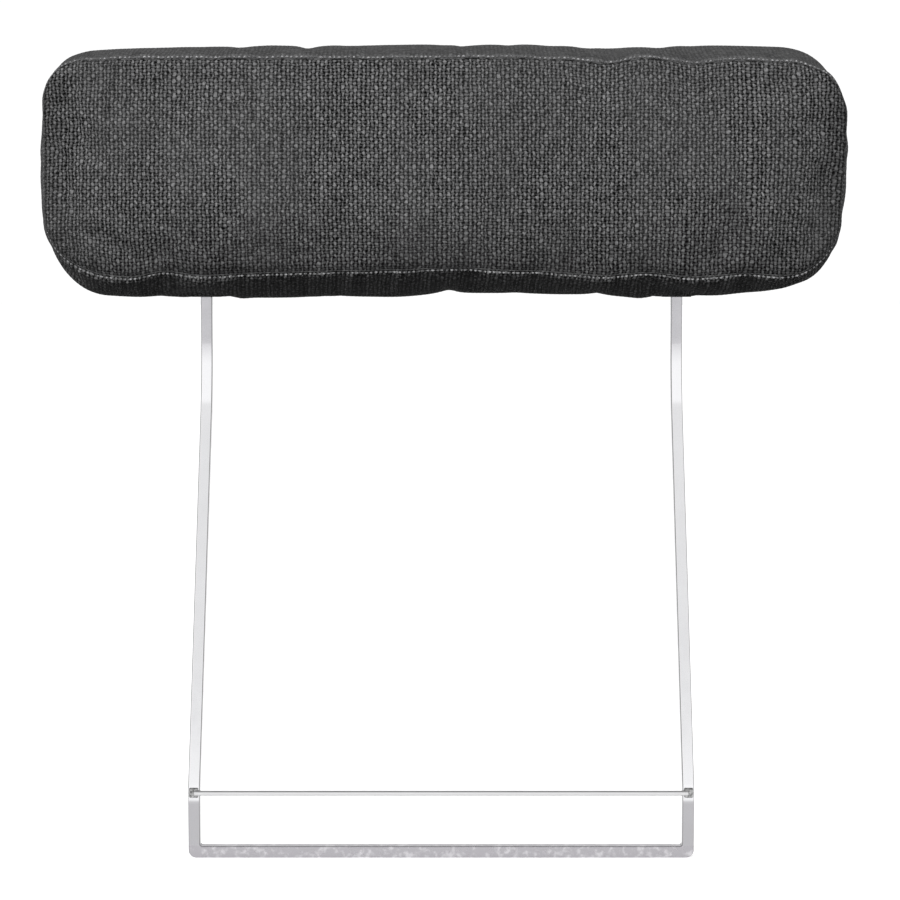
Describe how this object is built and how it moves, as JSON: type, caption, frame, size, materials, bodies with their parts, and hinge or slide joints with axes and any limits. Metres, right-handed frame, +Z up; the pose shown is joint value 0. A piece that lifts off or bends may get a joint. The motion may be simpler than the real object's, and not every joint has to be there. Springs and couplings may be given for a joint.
{
  "type": "sofa headrest",
  "caption": "Removable lounge headrest: a boxed woven cushion on a bracket bent from square steel bar, whose lower loop slips behind a seat-back cushion.",
  "frame": {"origin": "middle of the underside of the bracket's bottom bar", "axes": "+Z up along the legs' upright parts, +X along the cushion, -Y towards the side that the head rests on; the cushion stands behind the lower loop, towards +Y"},
  "size_m": [0.576, 0.1883, 0.5644],
  "materials": {
    "polished_bar": "polished",
    "polished_rod": "polished",
    "weld_metal": "satin",
    "plywood": "matte",
    "sleeve_plastic": "satin",
    "zinc_steel": "satin",
    "foam": "matte",
    "wadding": "matte",
    "charcoal_weave": "matte",
    "thread": "satin",
    "binding_tape": "matte",
    "zip_tape": "matte",
    "zip_nylon": "satin",
    "zip_metal": "satin"
  },
  "bodies": {
    "bracket": {"bracket_frame": "polished_bar", "cross_rod": "polished_rod", "rod_welds": "weld_metal"},
    "cushion": {"core_board": "plywood", "guide_sleeve_left": "sleeve_plastic", "guide_sleeve_right": "sleeve_plastic", "sleeve_saddles": "zinc_steel", "saddle_screws": "zinc_steel", "foam_core_front": "foam", "foam_core_rear": "foam", "wadding_front": "wadding", "wadding_rear": "wadding", "cover_front_panel": "charcoal_weave", "cover_boxing_band": "charcoal_weave", "cover_back_upper": "charcoal_weave", "cover_back_lower": "charcoal_weave", "topstitching_front": "thread", "topstitching_back": "thread", "slit_binding_left": "binding_tape", "slit_binding_right": "binding_tape", "zip_tape_upper": "zip_tape", "zip_tape_lower": "zip_tape", "zip_teeth_upper": "zip_nylon", "zip_teeth_lower": "zip_nylon", "zip_end_stops": "zip_metal"},
    "zip_slider": {"zip_slider": "zip_metal"},
    "zip_pull": {"zip_pull": "zip_metal"}
  },
  "joints": [
    {"name": "cushion_lift", "type": "slide", "parent": "bracket", "child": "cushion", "axis": [0, 0, 1], "range_m": [0, 0.12]},
    {"name": "zip_travel", "type": "slide", "parent": "cushion", "child": "zip_slider", "axis": [-1, 0, 0], "range_m": [0, 0.368]},
    {"name": "pull_swing", "type": "hinge", "parent": "zip_slider", "child": "zip_pull", "pos_m": [0.184, 0.17875, 0.453], "axis": [0, 0, -1], "range_deg": [0, 160]}
  ]
}
